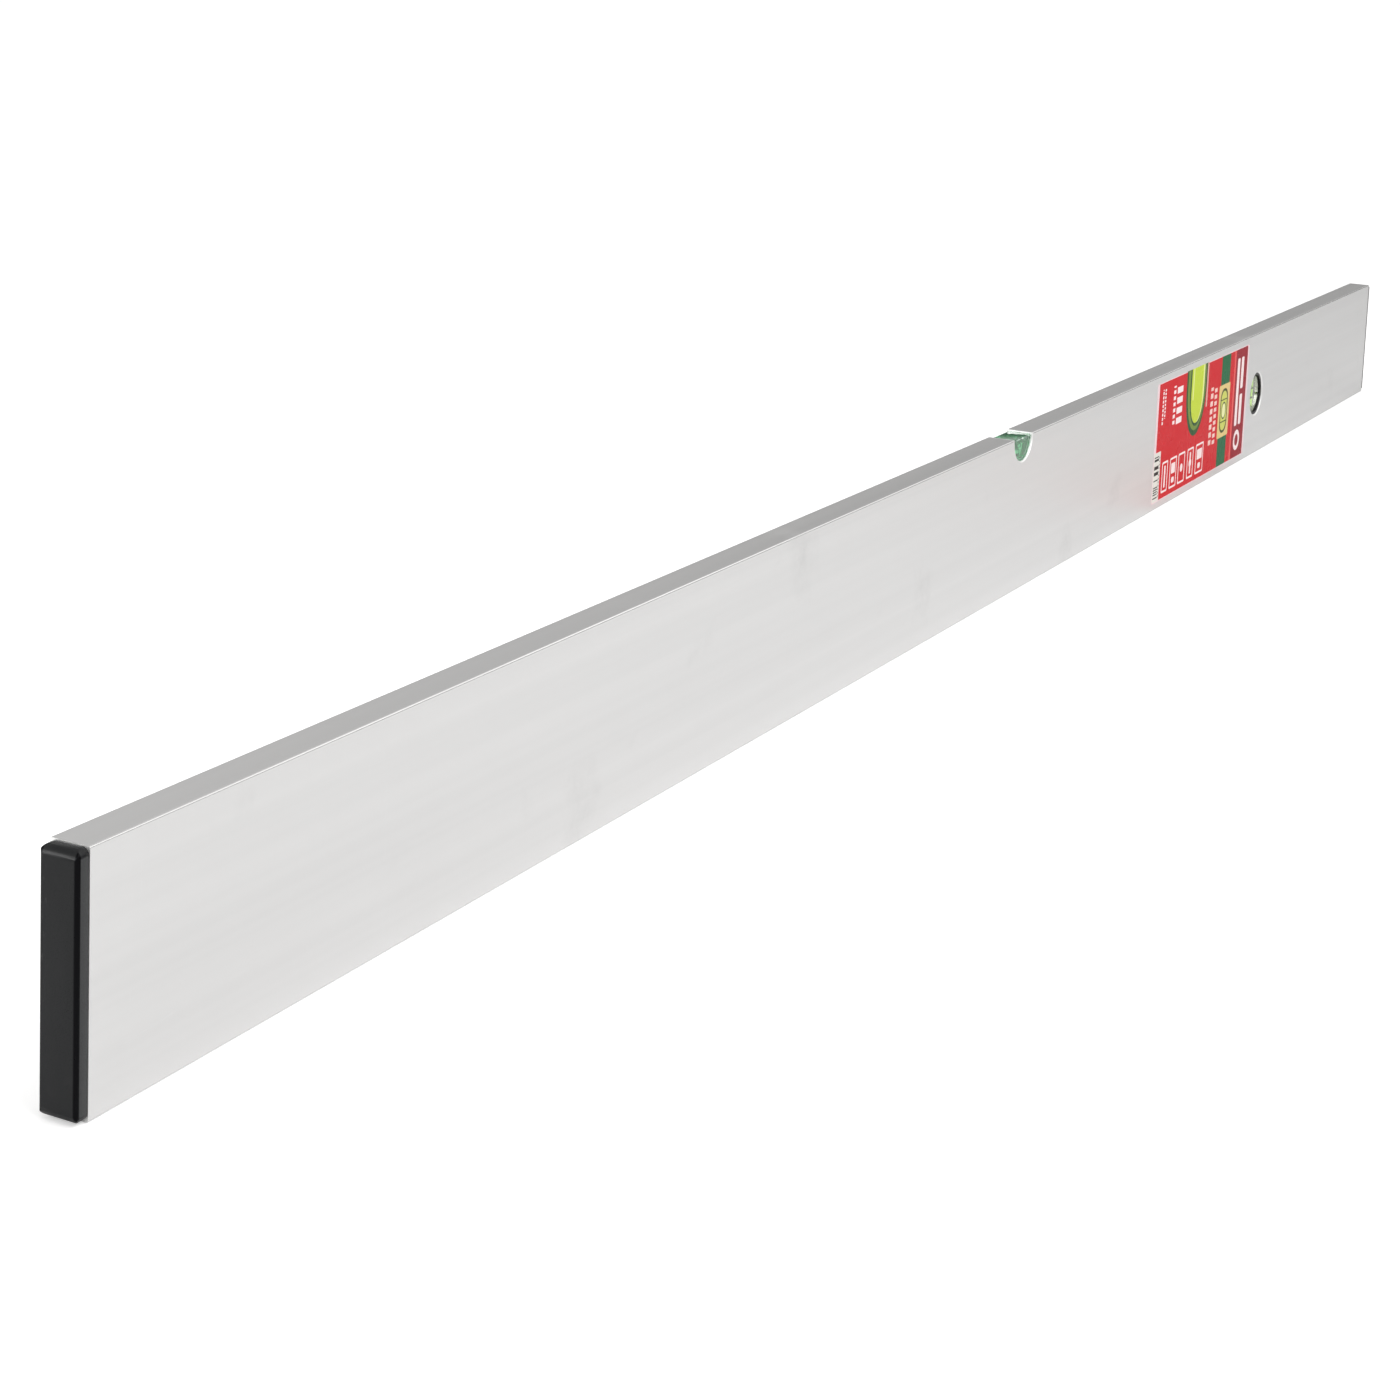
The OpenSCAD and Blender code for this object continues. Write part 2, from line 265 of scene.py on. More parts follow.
# how far the bare metal reaches: from the notch's middle, the window's middle
# and the middle of the level, each with a very narrow blend
NOTCH_CUT, WINDOW_CUT, SAWN_END = 16.55, 17.95, 893.85
CUT_BLEND, END_BLEND = 0.07, 0.10
# where the painted highlight along the long corners begins and is full, outward and upward
CORNER_HIGHLIGHT_OUT, CORNER_HIGHLIGHT_UP = (8.30, 8.75), (49.30, 49.75)


def within(tree, across, up, radius):
    """A mask of all that lies within a radius of an axis through the level."""
    squares = maths(tree, "ADD", times(tree, across, across), times(tree, up, up))
    edge = (radius * MM, (radius + CUT_BLEND) * MM)
    return spread(tree, maths(tree, "SQRT", squares), *edge, 1.0, 0.0)


def past_line(tree, value, begin, full):
    """A mask that rises from nothing to full between two distances in millimetres."""
    return spread(tree, value, begin * MM, full * MM, 0.0, 1.0)


def silver_anodised():
    """Matt silver anodising with drawing lines, and bright metal where it is cut."""
    material, tree, shader = new_material("silver_anodised_aluminium")
    place = place_node(tree, "ShaderNodeSeparateXYZ", Vector=stretched(tree, WHOLE))
    x, y, z = (place.outputs[axis] for axis in "XYZ")
    lines = place_node(
        tree, "ShaderNodeTexNoise", Vector=stretched(tree, (1.6, 900.0, 900.0)),
        Scale=1.0, Detail=4.0, Roughness=0.6,
    )
    broad_lines = place_node(
        tree, "ShaderNodeTexNoise", Vector=stretched(tree, (0.5, 120.0, 120.0), (3.0, 0.0, 0.0)),
        Scale=1.0, Detail=2.0,
    )
    plain = stretched(tree, WHOLE)
    etch = place_node(tree, "ShaderNodeTexNoise", Vector=plain, Scale=5200.0, Detail=2.0)
    cloud = place_node(tree, "ShaderNodeTexNoise", Vector=plain, Scale=5.0, Detail=3.0)
    smudge = marks(tree, plain, 17.0, 0.10)
    scratch_long = scratches(tree, stretched(tree, (7.0, 620.0, 620.0), turn=(0.0, 0.05, 0.0)), 0.8)
    scratch_cross = scratches(tree, stretched(tree, (620.0, 420.0, 11.0), turn=(0.0, -0.35, 0.0)), 0.5)
    scratch = maths(tree, "MAXIMUM", scratch_long, scratch_cross)

    # bare metal at the notch, the window and the sawn ends
    notch = within(tree, x, maths(tree, "SUBTRACT", z, SECTION_TOP * MM), NOTCH_CUT)
    from_window = maths(tree, "SUBTRACT", x, WINDOW_X * MM)
    window = within(tree, from_window, maths(tree, "SUBTRACT", z, WINDOW_Z * MM), WINDOW_CUT)
    sawn = past_line(tree, maths(tree, "ABSOLUTE", x), SAWN_END, SAWN_END + END_BLEND)
    bare = maths(tree, "MAXIMUM", maths(tree, "MAXIMUM", notch, window), sawn)
    # painted highlight: the long corners are painted brighter and made a little smoother
    out = past_line(tree, maths(tree, "ABSOLUTE", y), *CORNER_HIGHLIGHT_OUT)
    from_centre = maths(tree, "ABSOLUTE", maths(tree, "SUBTRACT", z, SECTION_MIDDLE * MM))
    corner = times(tree, out, past_line(tree, from_centre, *CORNER_HIGHLIGHT_UP))
    painted_corner_highlight = times(tree, corner, spread(tree, cloud.outputs[0], 0.3, 0.6, 0.5, 1.0))

    tone = spread(tree, lines.outputs[0], 0.2, 0.8, -0.5, 0.5)
    drawn = spread(tree, broad_lines.outputs[0], 0.3, 0.7, 0.0, 0.9)
    tone = maths(tree, "ADD", times(tree, tone, 0.05), drawn)
    tone = times(tree, tone, spread(tree, cloud.outputs[0], 0.25, 0.75, 0.85, 1.0), True)
    colour = blend_colour(tree, tone, (0.715, 0.711, 0.708), (0.748, 0.743, 0.740))
    colour = blend_colour(tree, times(tree, smudge, 0.25), colour, (0.50, 0.50, 0.495))
    colour = blend_colour(tree, times(tree, scratch, 0.6), colour, (0.78, 0.78, 0.78))
    # bare cut metal is brighter, and the long corners carry a painted highlight
    bright = maths(tree, "MAXIMUM", bare, times(tree, painted_corner_highlight, 0.8))
    colour = blend_colour(tree, bright, colour, (0.93, 0.93, 0.92))
    tree.links.new(colour, shader.inputs["Base Color"])
    shader.inputs["Metallic"].default_value = 1.0
    rough = spread(tree, lines.outputs[0], 0.2, 0.8, 0.27, 0.33)
    rough = maths(tree, "ADD", rough, times(tree, smudge, 0.10))
    rough = maths(tree, "SUBTRACT", rough, times(tree, painted_corner_highlight, 0.10))
    rough = maths(tree, "ADD", rough, times(tree, bare, 0.16))
    tree.links.new(rough, shader.inputs["Roughness"])
    relief = maths(tree, "ADD", times(tree, lines.outputs[0], 0.6), times(tree, etch.outputs[0], 0.5))
    relief = maths(tree, "SUBTRACT", relief, times(tree, scratch, 1.2))
    bump = place_node(tree, "ShaderNodeBump", Height=relief, Strength=0.25, Distance=0.00003)
    tree.links.new(bump.outputs[0], shader.inputs["Normal"])
    return material


nodes["profile"].data.materials[0] = silver_anodised()

# ---------------------------------------------------------------- end caps
# Black moulded plugs. Three hollow tongues press into the body's chambers and
# a thick plate with rounded outer edges takes the knocks.


# where the cap's outer plate starts to round off toward its sides, where its
# side faces lie, and where its end face lies
CAP_ROUNDING, CAP_SIDE, CAP_END = (6.90, 7.40), (8.62, 8.68), (898.0, 898.4)


def moulded_black(name, grain_scale, sheen, painted_side_light_edge_shade=False):
    """Black moulded plastic with a fine spark-eroded grain and scuffs."""
    material, tree, shader = new_material(name)
    place = stretched(tree, WHOLE)
    grain = place_node(
        tree, "ShaderNodeTexNoise", Vector=place, Scale=grain_scale, Detail=3.0, Roughness=0.65
    )
    flow = place_node(
        tree, "ShaderNodeTexNoise", Vector=stretched(tree, (60.0, 60.0, 14.0)), Scale=1.0, Detail=2.0
    )
    rub = marks(tree, place, 55.0, 0.12)
    scuff = scratches(tree, stretched(tree, (500.0, 500.0, 60.0), turn=(0.2, 0.3, 0.0)), 0.7)
    swirl = spread(tree, flow.outputs[0], 0.3, 0.7, 0.0, 1.0)
    colour = blend_colour(tree, swirl, (0.0095, 0.0100, 0.0110), (0.0125, 0.0130, 0.0140))
    colour = blend_colour(tree, times(tree, rub, 0.35), colour, (0.026, 0.027, 0.028))
    colour = blend_colour(tree, times(tree, scuff, 0.5), colour, (0.085, 0.085, 0.085))
    if painted_side_light_edge_shade:
        # painted light and shade: the side faces are painted paler, and the rounded edges of the end face
        # are painted darker and made metallic
        spot = place_node(tree, "ShaderNodeSeparateXYZ", Vector=place)
        from_middle = maths(tree, "ABSOLUTE", spot.outputs["Y"])
        side = past_line(tree, from_middle, *CAP_SIDE)
        rounded = past_line(tree, from_middle, *CAP_ROUNDING)
        rounded = times(tree, rounded, maths(tree, "SUBTRACT", 1.0, side))
        end_face = past_line(tree, maths(tree, "ABSOLUTE", spot.outputs["X"]), *CAP_END)
        edge = times(tree, end_face, rounded)
        colour = blend_colour(tree, side, colour, (0.036, 0.037, 0.038))
        colour = blend_colour(tree, edge, colour, (0.008, 0.008, 0.009))
        tree.links.new(edge, shader.inputs["Metallic"])
    tree.links.new(colour, shader.inputs["Base Color"])
    rough = spread(tree, grain.outputs[0], 0.3, 0.7, sheen - 0.04, sheen + 0.06)
    tree.links.new(maths(tree, "ADD", rough, times(tree, rub, 0.12)), shader.inputs["Roughness"])
    shader.inputs["Specular IOR Level"].default_value = 0.20
    relief = maths(tree, "SUBTRACT", grain.outputs[0], times(tree, scuff, 0.8))
    bump = place_node(tree, "ShaderNodeBump", Height=relief, Strength=0.3, Distance=0.00006)
    tree.links.new(bump.outputs[0], shader.inputs["Normal"])
    return material


def softened_copy(node, name, width, segments, angle):
    """A copy of a CAD piece with its facets joined and its edges rounded off."""
    bpy.ops.object.select_all(action="DESELECT")
    piece = bpy.data.objects.new(name, nodes[node].data.copy())
    bpy.context.scene.collection.objects.link(piece)
    bpy.context.view_layer.objects.active = piece
    piece.select_set(True)
    bpy.ops.object.mode_set(mode="EDIT")
    bpy.ops.mesh.select_all(action="SELECT")
    bpy.ops.mesh.remove_doubles(threshold=0.000002)
    bpy.ops.mesh.dissolve_limited(angle_limit=math.radians(0.6))
    bpy.ops.object.mode_set(mode="OBJECT")
    rounding = piece.modifiers.new("edge rounding", "BEVEL")
    rounding.width = width
    rounding.segments = segments
    rounding.limit_method = "ANGLE"
    rounding.angle_limit = math.radians(angle)
    bpy.ops.object.modifier_apply(modifier=rounding.name)
    bpy.ops.object.shade_smooth_by_angle(angle=math.radians(40.0))
    return piece


def keep_as(piece, body, slot, material, *stands_for):
    """Hands a finished piece to the frame: its body, finish and CAD nodes; the slot is not used."""
    piece.data.materials.clear()
    piece.data.materials.append(material)
    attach(piece, body)
    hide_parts(*stands_for)


# the end caps carry painted light on their side faces and painted shade on the rounded edges of their end
# faces
CAP_PLASTIC = moulded_black("end_cap_plastic", 3200.0, 0.29, True)
for side in ("left", "right"):
    cap = softened_copy("end_cap_" + side, "cap_" + side, 0.00035, 3, 30.0)
    keep_as(cap, "level", "end_cap", CAP_PLASTIC, "end_cap_" + side)

# -------------------------------------------------------------- level vial
# A clear acrylic block pressed into the notch and bedded on two pads of
# plaster. Its barrel is bored from one end, filled with green spirit and an
# air bubble, marked by two black rings and closed by a glued plug.


def turned_piece(name, outline, axis, centre, steps=96):
    """A turned solid: an outline of (radius, place along the axis) spun round the axis."""
    along = Vector({"X": (1.0, 0.0, 0.0), "Y": (0.0, 1.0, 0.0), "Z": (0.0, 0.0, 1.0)}[axis])
    out = Vector((1.0, 0.0, 0.0)) if axis != "X" else Vector((0.0, 0.0, 1.0))
    middle = Vector(centre) * MM
    points = [middle + (out * radius + along * place) * MM for radius, place in outline]
    bpy.ops.object.select_all(action="DESELECT")
    bpy.ops.mesh.primitive_plane_add(size=MM)
    piece = bpy.context.object
    piece.name = name
    bpy.ops.object.mode_set(mode="EDIT")
    bpy.ops.mesh.select_all(action="SELECT")
    bpy.ops.mesh.merge(type="CENTER")
    bpy.ops.transform.translate(value=points[0])
    for start, stop in zip(points, points[1:]):
        bpy.ops.mesh.extrude_region_move(TRANSFORM_OT_translate={"value": stop - start})
    bpy.ops.mesh.select_all(action="SELECT")
    bpy.ops.mesh.spin(steps=steps, angle=math.tau, center=middle, axis=along)
    bpy.ops.mesh.select_all(action="SELECT")
    bpy.ops.mesh.remove_doubles(threshold=0.000004)
    bpy.ops.mesh.normals_make_consistent(inside=False)
    bpy.ops.object.mode_set(mode="OBJECT")
    bpy.ops.object.shade_smooth_by_angle(angle=math.radians(40.0))
    return piece


def barrel_outline(middle, end, length, rounding, count=16):
    """Half outline of a barrel-shaped bore with slightly rounded rims."""
    half = length / 2.0
    points = [(0.0, -half), (end - rounding, -half), (end - 0.3 * rounding, -half + 0.3 * rounding)]
    for step in range(count + 1):
        t = (2.0 * step / count - 1.0) * (1.0 - rounding / half)
        points.append((middle - (middle - end) * t * t, t * half))
    return points + [(end - 0.3 * rounding, half - 0.3 * rounding), (end - rounding, half), (0.0, half)]


def bubble_outline(radius, length, count=12):
    """Half outline of a round-ended bubble."""
    flat = length / 2.0 - radius
    lower = [
        (radius * math.sin(a), -flat - radius * math.cos(a))
        for a in (math.pi / 2 * step / count for step in range(count + 1))
    ]
    return lower + [(r, -place) for r, place in reversed(lower)]


def groove_ring(name, inner, axis, centre):
    """The black ring that fills a marking groove, with its four edges taken off."""
    side, top = 0.34, 0.40
    outline = [
        (inner, -side), (inner + 0.06, -top), (inner + 0.25, -top), (inner + 0.31, -side),
        (inner + 0.31, side), (inner + 0.25, top), (inner + 0.06, top), (inner, side),
    ]
    return turned_piece(name, outline + outline[:1], axis, centre)


def box_piece(name, low, high):
    """A box between two corners in millimetres, its place in its mesh."""
    bpy.ops.object.select_all(action="DESELECT")
    size = [(b - a) * MM for a, b in zip(low, high)]
    middle = [(a + b) / 2.0 * MM for a, b in zip(low, high)]
    bpy.ops.mesh.primitive_cube_add(size=1.0, location=middle, scale=size)
    bpy.ops.object.transform_apply(location=True, rotation=True, scale=True)
    piece = bpy.context.object
    piece.name = name
    return piece


def soften_edges(piece, width, segments, angle=30.0):
    """Rounds a piece's sharp edges off."""
    rounding = piece.modifiers.new("edge rounding", "BEVEL")
    rounding.width = width * MM
    rounding.segments = segments
    rounding.limit_method = "ANGLE"
    rounding.angle_limit = math.radians(angle)
    bpy.context.view_layer.objects.active = piece
    bpy.ops.object.modifier_apply(modifier=rounding.name)
    bpy.ops.object.shade_smooth_by_angle(angle=math.radians(40.0))


# how strongly each clear stuff bends light
ACRYLIC_BEND, LIQUID_BEND, AIR_BEND = 1.49, 1.10, 1.33


def clear_acrylic(name, tint, deep_tint, glow):
    """Polished clear acrylic with a faint painted glow: flow lines, a little dust and wiping marks."""
    material, tree, shader = new_material(name)
    place = stretched(tree, WHOLE)
    flow = place_node(
        tree, "ShaderNodeTexNoise", Vector=stretched(tree, (90.0, 90.0, 240.0)), Scale=1.0, Detail=2.0
    )
    dust = place_node(tree, "ShaderNodeTexNoise", Vector=place, Scale=2600.0, Detail=3.0, Roughness=0.7)
    wipe = scratches(tree, stretched(tree, (160.0, 700.0, 700.0), turn=(0.0, 0.5, 0.2)), 0.6)
    colour = blend_colour(tree, spread(tree, flow.outputs[0], 0.35, 0.65, 0.0, 1.0), tint, deep_tint)
    tree.links.new(colour, shader.inputs["Base Color"])
    # painted glow: the acrylic gives off a faint light of its own
    shader.inputs["Emission Color"].default_value = (*glow, 1.0)
    shader.inputs["Emission Strength"].default_value = 1.0
    haze = times(tree, spread(tree, dust.outputs[0], 0.62, 0.72, 0.0, 1.0), 0.12)
    rough = maths(tree, "ADD", maths(tree, "ADD", haze, 0.02), times(tree, wipe, 0.2))
    tree.links.new(rough, shader.inputs["Roughness"])
    shader.inputs["Transmission Weight"].default_value = 1.0
    shader.inputs["IOR"].default_value = ACRYLIC_BEND
    relief = maths(tree, "SUBTRACT", flow.outputs[0], times(tree, wipe, 0.15))
    bump = place_node(tree, "ShaderNodeBump", Height=relief, Strength=0.12, Distance=0.00004)
    tree.links.new(bump.outputs[0], shader.inputs["Normal"])
    return material


def spirit_fill(name, thin, deep, bend, glow):
    """Tinted vial spirit with a painted glow, a little deeper in colour in drifting bands."""
    material, tree, shader = new_material(name)
    drift = place_node(
        tree, "ShaderNodeTexNoise", Vector=stretched(tree, (70.0, 120.0, 120.0)),
        Scale=1.0, Detail=2.0, Distortion=0.4,
    )
    colour = blend_colour(tree, spread(tree, drift.outputs[0], 0.3, 0.7, 0.0, 1.0), thin, deep)
    tree.links.new(colour, shader.inputs["Base Color"])
    # painted glow: the spirit gives off a faint light of its own, set by the glow colour
    shader.inputs["Emission Color"].default_value = (*glow, 1.0)
    shader.inputs["Emission Strength"].default_value = 1.0
    tree.links.new(spread(tree, drift.outputs[0], 0.3, 0.7, 0.0, 0.02), shader.inputs["Roughness"])
    shader.inputs["Transmission Weight"].default_value = 1.0
    shader.inputs["IOR"].default_value = bend
    bump = place_node(tree, "ShaderNodeBump", Height=drift.outputs[0], Strength=0.05, Distance=0.00003)
    tree.links.new(bump.outputs[0], shader.inputs["Normal"])
    return material


def moulded_pale(name, base, shadow, grain_scale, depth):
    """A pale matt solid, used for plugs and plaster, with grain and soft stains."""
    material, tree, shader = new_material(name)
    place = stretched(tree, WHOLE)
    grain = place_node(
        tree, "ShaderNodeTexNoise", Vector=place, Scale=grain_scale, Detail=5.0, Roughness=0.7
    )
    stain = marks(tree, place, 180.0, 0.16)
    colour = blend_colour(tree, spread(tree, grain.outputs[0], 0.3, 0.7, 0.0, 0.7), base, shadow)
    colour = blend_colour(tree, times(tree, stain, 0.3), colour, shadow)
    tree.links.new(colour, shader.inputs["Base Color"])
    tree.links.new(spread(tree, grain.outputs[0], 0.3, 0.7, 0.42, 0.62), shader.inputs["Roughness"])
    bump = place_node(tree, "ShaderNodeBump", Height=grain.outputs[0], Strength=0.5, Distance=depth)
    tree.links.new(bump.outputs[0], shader.inputs["Normal"])
    return material


def ring_black(name):
    """Black filling of a marking groove, slightly uneven."""
    material, tree, shader = new_material(name)
    fill = place_node(
        tree, "ShaderNodeTexNoise", Vector=stretched(tree, WHOLE), Scale=2400.0, Detail=3.0, Roughness=0.6
    )
    uneven = spread(tree, fill.outputs[0], 0.3, 0.7, 0.0, 1.0)
    tree.links.new(
        blend_colour(tree, uneven, (0.006, 0.006, 0.007), (0.018, 0.018, 0.019)),
        shader.inputs["Base Color"],
    )
    tree.links.new(spread(tree, fill.outputs[0], 0.3, 0.7, 0.30, 0.48), shader.inputs["Roughness"])
    bump = place_node(tree, "ShaderNodeBump", Height=fill.outputs[0], Strength=0.3, Distance=0.00003)
    tree.links.new(bump.outputs[0], shader.inputs["Normal"])
    return material


LEVEL_AXIS = 90.8
BLOCK_LOW, BLOCK_SHOULDER, BLOCK_TOP = 79.0, 97.2, 99.2
BLOCK_HALF, BLOCK_DEPTH, RAISED_HALF = 23.0, 7.2, 14.8

block = box_piece(
    "level_block", (-BLOCK_HALF, -BLOCK_DEPTH, BLOCK_LOW), (BLOCK_HALF, BLOCK_DEPTH, BLOCK_SHOULDER)
)
bpy.ops.object.mode_set(mode="EDIT")
for step in (-RAISED_HALF, RAISED_HALF):
    bpy.ops.mesh.select_all(action="SELECT")
    bpy.ops.mesh.bisect(plane_co=(step * MM, 0.0, 0.0), plane_no=(1.0, 0.0, 0.0))
bpy.ops.mesh.select_mode(type="FACE")
bpy.ops.mesh.select_all(action="DESELECT")
shape = bmesh.from_edit_mesh(block.data)
for face in shape.faces:
    centre = face.calc_center_median()
    face.select_set(face.normal.z > 0.9 and abs(centre.x) < RAISED_HALF * MM)
bmesh.update_edit_mesh(block.data)
bpy.ops.mesh.extrude_region_move(
    TRANSFORM_OT_translate={"value": (0.0, 0.0, (BLOCK_TOP - BLOCK_SHOULDER) * MM)}
)
bpy.ops.mesh.select_mode(type="VERT")
bpy.ops.object.mode_set(mode="OBJECT")
soften_edges(block, 0.45, 4)
acrylic = clear_acrylic(
    "level_block_acrylic", (0.86, 0.98, 0.90), (0.78, 0.955, 0.84), (0.020, 0.042, 0.029)
)
keep_as(block, "level", "clear_block", acrylic, "level_vial_block")

barrel = barrel_outline(middle=5.55, end=5.05, length=34.0, rounding=0.5)
spirit = turned_piece("level_spirit", barrel, "X", (0.0, 0.0, LEVEL_AXIS))
green = spirit_fill(
    "level_spirit_green", (0.26, 0.72, 0.40), (0.16, 0.60, 0.30), LIQUID_BEND, (0.004, 0.020, 0.009)
)
keep_as(spirit, "level", "level_liquid", green, "level_vial_liquid")

# the bubble lies flat against the top of the barrel
BUBBLE_HEIGHT, BUBBLE_PRESS = 93.2, (1.0, 1.14, 0.92)
air = bubble_outline(radius=2.6, length=10.0)
bubble = turned_piece("level_bubble_air", air, "X", (0.0, 0.0, BUBBLE_HEIGHT), 64)
bpy.ops.object.mode_set(mode="EDIT")
bpy.ops.mesh.select_all(action="SELECT")
bpy.ops.transform.resize(value=BUBBLE_PRESS, center_override=(0.0, 0.0, BUBBLE_HEIGHT * MM))
bpy.ops.object.mode_set(mode="OBJECT")
AIR = spirit_fill("bubble_air", (0.97, 1.0, 0.97), (0.93, 0.99, 0.93), AIR_BEND, NO_LIGHT)
keep_as(bubble, "level_bubble", "bubble", AIR, "level_vial_bubble")

RING_PAINT = ring_black("groove_black")
LEVEL_GROOVE, LEVEL_MARK = 5.62, 5.5
for side, place in (("left", -LEVEL_MARK), ("right", LEVEL_MARK)):
    ring = groove_ring("level_ring_" + side, LEVEL_GROOVE, "X", (place, 0.0, LEVEL_AXIS))
    keep_as(ring, "level", "line", RING_PAINT, "level_vial_line_" + side)

PLUG_PLASTIC = moulded_pale("plug_plastic", (0.78, 0.80, 0.76), (0.60, 0.64, 0.58), 1800.0, 0.00003)
plug_outline = [
    (0.0, 0.0), (4.7, 0.0), (5.15, 0.35), (5.30, 0.9), (5.30, 4.5),
    (5.1, 4.85), (4.2, 5.0), (4.0, 4.6), (0.0, 4.6),
]
LEVEL_PLUG_X = 17.03
plug = turned_piece("level_plug", plug_outline, "X", (LEVEL_PLUG_X, 0.0, LEVEL_AXIS))
keep_as(plug, "level", "plug", PLUG_PLASTIC, "level_vial_plug")

PAD_NEAR, PAD_FAR, PAD_LOW, PAD_DEPTH = 9.0, 22.0, 76.7, 6.7
PAD_HALF = (PAD_FAR - PAD_NEAR) / 2.0
PAD_MIDDLE, PAD_RISE = (BLOCK_LOW + PAD_LOW) / 2.0, (BLOCK_LOW - PAD_LOW) / 2.0
OUTER_FACE = 0.98
PLASTER = moulded_pale("bedding_plaster", (0.70, 0.68, 0.62), (0.52, 0.50, 0.45), 900.0, 0.00012)
for side, turn in (("left", -1.0), ("right", 1.0)):
    ends = sorted((PAD_NEAR * turn, PAD_FAR * turn))
    pad = box_piece(
        "plaster_pad_" + side, (ends[0], -PAD_DEPTH, PAD_LOW), (ends[1], PAD_DEPTH, BLOCK_LOW)
    )
    bpy.ops.object.mode_set(mode="EDIT")
    bpy.ops.mesh.select_all(action="SELECT")
    bpy.ops.mesh.subdivide(number_cuts=9)
    shape = bmesh.from_edit_mesh(pad.data)
    for point in shape.verts:
        along = (point.co.x / MM - sum(ends) / 2.0) / PAD_HALF
        across = point.co.y / MM / PAD_DEPTH
        high = (point.co.z / MM - PAD_MIDDLE) / PAD_RISE
        # the sides bulge at half height, a little unevenly, as squeezed plaster does
        squeeze = 0.10 + 0.03 * math.sin(5.0 * along + 2.0 * turn) + 0.03 * math.cos(7.0 * across)
        pinch = squeeze * high * high
        point.co.x -= along * pinch * PAD_HALF * MM * (abs(along) > OUTER_FACE)
        point.co.y -= across * pinch * PAD_DEPTH * MM * (abs(across) > OUTER_FACE)
    bmesh.update_edit_mesh(pad.data)
    bpy.ops.object.mode_set(mode="OBJECT")
    rounding = pad.modifiers.new("squeezed rim", "SUBSURF")
    rounding.levels = rounding.render_levels = 1
    bpy.ops.object.modifier_apply(modifier=rounding.name)
    bpy.ops.object.shade_smooth_by_angle(angle=math.radians(60.0))
    keep_as(pad, "level", "pad", PLASTER, "level_vial_pad_" + side)

# -------------------------------------------------------------- plumb vial
# A clear acrylic disc with an upright barrel, held in the window between two
# black moulded rings. The rings snap behind the walls, and a key at the top
# stops the disc from turning.

RING_PLASTIC = moulded_black("housing_ring_plastic", 2800.0, 0.34)
for side in ("front", "back"):
    ring = softened_copy("plumb_ring_" + side, "housing_ring_" + side, 0.00022, 3, 35.0)
    keep_as(ring, "level", "ring", RING_PLASTIC, "plumb_ring_" + side)

DISC_RADIUS, DISC_HALF = 15.8, 5.8
disc_outline = [(0.0, -DISC_HALF), (DISC_RADIUS, -DISC_HALF), (DISC_RADIUS, DISC_HALF), (0.0, DISC_HALF)]
disc = turned_piece("plumb_disc", disc_outline, "Y", (WINDOW_X, 0.0, WINDOW_Z), 128)
soften_edges(disc, 0.5, 4, 50.0)
KEY_HALF, KEY_DEPTH, KEY_LOW, KEY_TOP = 1.6, 6.5, 64.7, 67.0
slot_cutter = box_piece(
    "key_slot_cutter", (WINDOW_X - KEY_HALF, -KEY_DEPTH, KEY_LOW), (WINDOW_X + KEY_HALF, KEY_DEPTH, KEY_TOP)
)
cut = disc.modifiers.new("key slot", "BOOLEAN")
cut.operation = "DIFFERENCE"
cut.object = slot_cutter
bpy.ops.object.select_all(action="DESELECT")
bpy.context.view_layer.objects.active = disc
disc.select_set(True)
bpy.ops.object.modifier_apply(modifier=cut.name)
bpy.data.objects.remove(slot_cutter)
bpy.ops.object.shade_smooth_by_angle(angle=math.radians(40.0))
acrylic = clear_acrylic(
    "plumb_disc_acrylic", (0.955, 0.985, 0.90), (0.92, 0.97, 0.84), (0.012, 0.016, 0.006)
)
keep_as(disc, "level", "clear_block", acrylic, "plumb_vial_disc")

barrel = barrel_outline(middle=4.25, end=4.0, length=23.0, rounding=0.4)
spirit = turned_piece("plumb_spirit", barrel, "Z", (WINDOW_X, 0.0, WINDOW_Z))
green = spirit_fill(
    "plumb_spirit_green", (0.62, 0.88, 0.26), (0.50, 0.80, 0.18), LIQUID_BEND, (0.020, 0.040, 0.004)
)
keep_as(spirit, "level", "plumb_liquid", green, "plumb_vial_liquid")
PLUMB_BUBBLE_Z = 57.2
air = bubble_outline(radius=2.4, length=6.8)
bubble = turned_piece("plumb_bubble_air", air, "Z", (WINDOW_X, 0.0, PLUMB_BUBBLE_Z), 64)
keep_as(bubble, "plumb_bubble", "bubble", AIR, "plumb_vial_bubble")
PLUMB_GROOVE, PLUMB_MARK = 4.32, 3.9
for side, place in (("upper", PLUMB_MARK), ("lower", -PLUMB_MARK)):
    ring = groove_ring("plumb_ring_mark_" + side, PLUMB_GROOVE, "Z", (WINDOW_X, 0.0, WINDOW_Z + place))
    keep_as(ring, "level", "line", RING_PAINT, "plumb_vial_line_" + side)
plug_outline = [
    (0.0, 0.35), (3.3, 0.35), (3.5, 0.05), (4.3, 0.05), (4.5, 0.30), (4.5, 3.45), (4.1, 3.80), (0.0, 3.80)
]
PLUMB_PLUG_Z = 34.68
plug = turned_piece("plumb_plug", plug_outline, "Z", (WINDOW_X, 0.0, PLUMB_PLUG_Z))
keep_as(plug, "level", "plug", PLUG_PLASTIC, "plumb_vial_plug")

# -------------------------------------------------------------- face label
# A printed plastic film stuck on the front face beside the plumb window. The
# print is plain colour fields, generic bars and simple drawings of a vial.

FILM_LOW, FILM_HIGH = (273.0, 5.5), (506.0, 94.5)
FILM_FRONT, FILM_BACK, FILM_CORNER = -9.14, -9.0, 1.5
# the margin inside the cut edge, how near the edge its points lie, and how far
# the edge is set back
FILM_MARGIN, RIM_REACH, RIM_SET_BACK = 0.05, 0.02, 0.04
PRINT_SHARPNESS = 10.0


